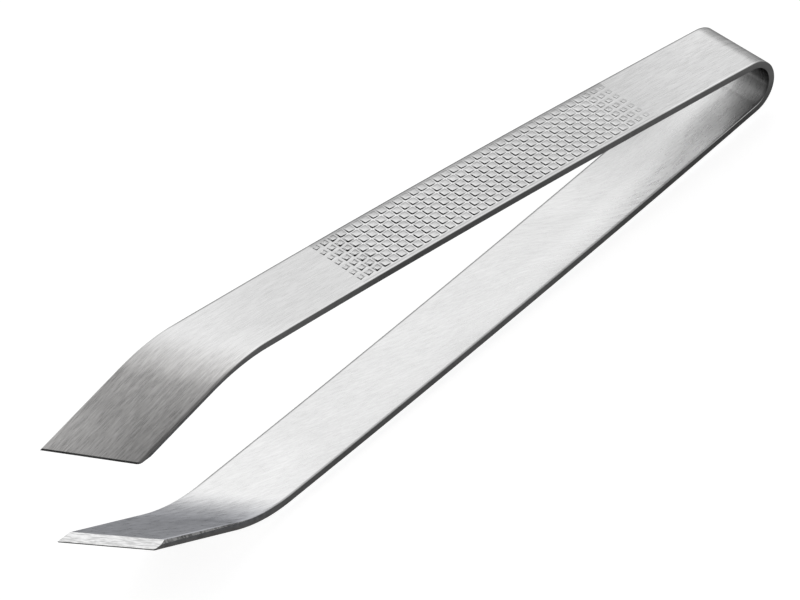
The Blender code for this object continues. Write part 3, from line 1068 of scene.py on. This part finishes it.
# %% The jaws
def make_jaw(side, half):
    """A jaw, ground and cut while it is flat."""
    bm = flat_bar(JAW_SEAM, TIP_LINE + HALF_WIDTH * tan(TIP_SKEW) + WASTE_LENGTH)
    # The near inner edge is ground on a slant that runs out some way behind the tip
    start = Vector((FACET_END - GROUND_LENGTH, -HALF_WIDTH, -HALF_THICKNESS))
    deep = GROUND_DEPTHS[side] - HALF_THICKNESS
    down_side = Vector((FACET_END, -HALF_WIDTH, deep)) - start
    on_face = Vector((FACET_END, GROUND_WIDTH - HALF_WIDTH, -HALF_THICKNESS)) - start
    cut_off(bm, start, on_face.cross(down_side).normalized(), GROUND_MATERIAL)
    for step in range(BEND_STEPS + 1):
        rolled = BEND_ARC * step / BEND_STEPS
        slice_across(bm, BEND_LINE + rolled / cos(BEND_SKEW), BEND_SKEW)
    # The cut end, its rounded corner and its broken outer edge take the cut steel, painted
    # near black as shade
    outwards = Vector((cos(TIP_SKEW), -sin(TIP_SKEW), 0))
    cut_off(bm, (TIP_LINE, 0, 0), outwards, CUT_MATERIAL)
    # The near corner is rounded by a few upright cuts round a common centre
    sideways = Vector((0, -1, 0))
    corner = Vector((TIP_LINE - HALF_WIDTH * tan(TIP_SKEW), -HALF_WIDTH, 0))
    radius = TIP_CORNERS[side]
    centre = corner - (outwards + sideways) * radius / (1 + outwards.dot(sideways))
    for cut in range(1, TIP_CORNER_CUTS):
        facing = outwards.slerp(sideways, cut / TIP_CORNER_CUTS)
        cut_off(bm, centre + facing * radius, facing, CUT_MATERIAL)
    # The outer corner of the tip is broken, so that it doesn't scratch
    broken = outwards * sin(TIP_BREAK_SLOPE) + Vector((0, 0, cos(TIP_BREAK_SLOPE)))
    cut_off(bm, (TIP_LINE, 0, HALF_THICKNESS - TIP_BREAKS[side]), broken, CUT_MATERIAL)
    # The facet inside thins the tip
    slope = atan2(STRIP_THICKNESS - TIP_EDGE, FACET_LENGTH * cos(TIP_SKEW))
    cut_off(bm, (TIP_LINE, 0, HALF_THICKNESS - TIP_EDGE),
            outwards * sin(slope) + Vector((0, 0, -cos(slope))), FACET_MATERIAL)
    piece = finish_piece(side + '_jaw_strip', bm, half,
                         [jaw_steel, facet_steel, shaded_cut_steel, ground_steel])
    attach(piece, side + "_arm")
    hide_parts(side + "_jaw")


for side, half in ARMS:
    make_jaw(side, half)

# %% [markdown]
# ## The floor
# The tweezers lie on a plain white table. Camera and mirror-like rays see the table as a
# bright sheet of paper, while its plain diffuse part still takes the object's soft shadow.

# %% Floor
FLOOR_SIZE = 4.0
FLOOR_TINT = 0.4
FLOOR_ROUGHNESS = 0.9
FLOOR_GLOW = 0.78


def make_floor():
    """A square of white paper that glows only for the camera and for reflections."""
    bm = bmesh.new()
    bmesh.ops.create_grid(bm, x_segments=1, y_segments=1, size=FLOOR_SIZE / 2)
    mesh = bpy.data.meshes.new('floor')
    bm.to_mesh(mesh)
    bm.free()
    floor = bpy.data.objects.new('floor', mesh)
    bpy.context.scene.collection.objects.link(floor)
    material, tree, shader = new_material('floor_paper', metallic=0.0)
    shader['Base Color'].default_value = (FLOOR_TINT, FLOOR_TINT, FLOOR_TINT, 1.0)
    shader['Roughness'].default_value = FLOOR_ROUGHNESS
    rays = tree.nodes.new('ShaderNodeLightPath').outputs
    seen = greater(tree, rays['Is Camera Ray'], rays['Is Glossy Ray'])
    seen = greater(tree, seen, rays['Is Transmission Ray'])
    tree.links.new(times(tree, seen, FLOOR_GLOW), shader['Emission Strength'])
    shader['Emission Color'].default_value = (1.0, 1.0, 1.0, 1.0)
    mesh.materials.append(material)


make_floor()

# %% [markdown]
# ## The light
# The room is a plain grey. Behind the table and to the right it has a wide soft glow, like
# a lit screen, with one soft box in its middle, and a wider, weaker glow fills from the
# front left. The arms mirror the screen, and the jaws, which are bent out of its way,
# mirror the grey.

# %% World and lamps
ROOM_LIGHT = 0.42
SCREEN_LIGHT = 0.76
SCREEN_WAY = (radians(53.0), radians(46.0))
SCREEN_EDGE = 0.60
FILL_LIGHT = 0.45
FILL_WAY = (radians(230.0), radians(20.0))
FILL_EDGE = 0.45
BOX_LIGHT = 0.28
BOX_SIZE = 0.50
BOX_DISTANCE = 1.0


def direction(turn, rise):
    """The direction at an angle from +X in plan and an angle above the table."""
    return Vector((cos(turn) * cos(rise), sin(turn) * cos(rise), sin(rise)))


def glow(tree, place, way, edge, light):
    """Light that fades from the middle of the glow to where the cosine falls to edge."""
    toward = tree.nodes.new('ShaderNodeVectorMath')
    toward.operation = 'DOT_PRODUCT'
    tree.links.new(place, toward.inputs[0])
    toward.inputs[1].default_value = direction(*way)
    return ramp(tree, toward.outputs['Value'], edge, 1.0, 0.0, light, smooth=False)


def make_world():
    """A grey room with two glows, which only depends on the direction."""
    world = bpy.data.worlds.new('studio')
    bpy.context.scene.world = world
    world.use_nodes = True
    tree = world.node_tree
    background = tree.nodes['Background']
    background.inputs['Color'].default_value = (1.0, 1.0, 1.0, 1.0)
    place = tree.nodes.new('ShaderNodeTexCoord').outputs['Generated']
    light = plus(tree, glow(tree, place, SCREEN_WAY, SCREEN_EDGE, SCREEN_LIGHT),
                 glow(tree, place, FILL_WAY, FILL_EDGE, FILL_LIGHT), ROOM_LIGHT)
    tree.links.new(light, background.inputs['Strength'])


def soft_box(name, way, distance, size, brightness):
    """A square lamp whose face has the given brightness, turned towards the tweezers."""
    lamp = bpy.data.lights.new(name, 'AREA')
    lamp.shape = 'SQUARE'
    lamp.size = size
    lamp.energy = brightness * size * size * pi
    box = bpy.data.objects.new(name, lamp)
    bpy.context.scene.collection.objects.link(box)
    box.location = direction(*way) * distance
    box.rotation_euler = box.location.to_track_quat('Z', 'Y').to_euler()
    box.visible_camera = False
    print(name, "shines with", round(lamp.energy, 3), "W")


make_world()
soft_box('back_box', SCREEN_WAY, BOX_DISTANCE, BOX_SIZE, BOX_LIGHT)

# %% [markdown]
# ## The camera
# A long lens from the near left, well above the table. Its place was worked out by
# fitting the strip's edges to their outlines in the photograph.

# %% Camera
LENS = 261.1
SENSOR_WIDTH = 36.0
CLIP_RANGE = (0.01, 20.0)
CAMERA_PLACE = Vector((-371.8, -564.1, 702.9)) * MM
CAMERA_TURN = Euler([radians(a) for a in (43.319, 10.145, -43.353)])


def make_camera():
    """The camera, which becomes the scene's own."""
    data = bpy.data.cameras.new('camera')
    data.lens = LENS
    data.sensor_width = SENSOR_WIDTH
    data.clip_start, data.clip_end = CLIP_RANGE
    camera = bpy.data.objects.new('camera', data)
    bpy.context.scene.collection.objects.link(camera)
    camera.location = CAMERA_PLACE
    camera.rotation_euler = CAMERA_TURN
    bpy.context.scene.camera = camera


make_camera()
bpy.context.scene.view_settings.view_transform = 'Standard'
print("camera", round(CAMERA_PLACE.length, 3), "m from the origin")
